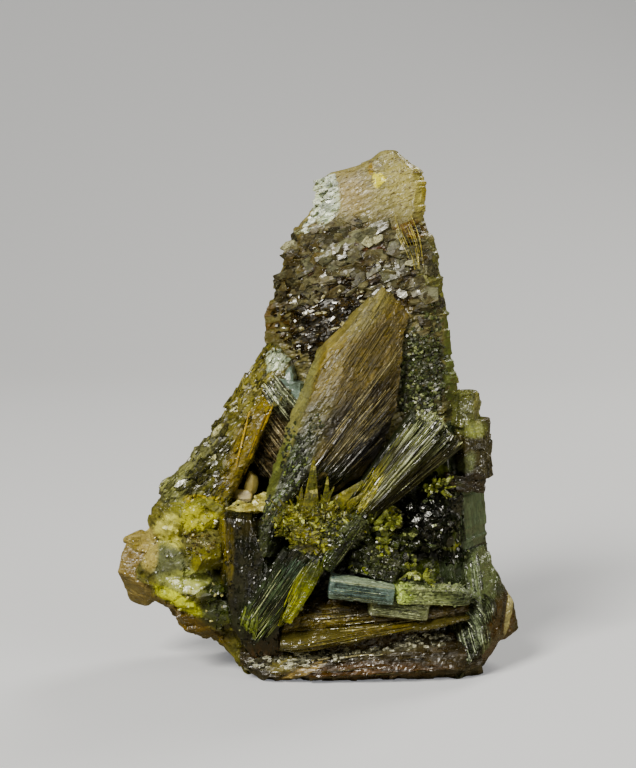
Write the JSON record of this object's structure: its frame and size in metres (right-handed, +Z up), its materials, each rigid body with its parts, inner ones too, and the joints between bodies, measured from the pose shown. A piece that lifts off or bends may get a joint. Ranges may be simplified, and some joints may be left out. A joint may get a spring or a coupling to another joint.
{
  "type": "epidote crystal cluster",
  "caption": "Upright cluster of intergrown epidote tablets, blades and lath bundles, flat below, for display or as set dressing.",
  "frame": {"origin": "middle of the bounding box in X and Y, on the flat base", "axes": "+Z up along the tall main crystal, -Y towards the face that shows best, +X to the right of that view"},
  "size_m": [0.0307, 0.0159, 0.0394],
  "materials": {
    "epidote": "glossy striated faces, olive green to golden brown, with yellow crusts"
  },
  "bodies": {
    "root": {"epidote_crystals": "epidote"}
  },
  "joints": []
}
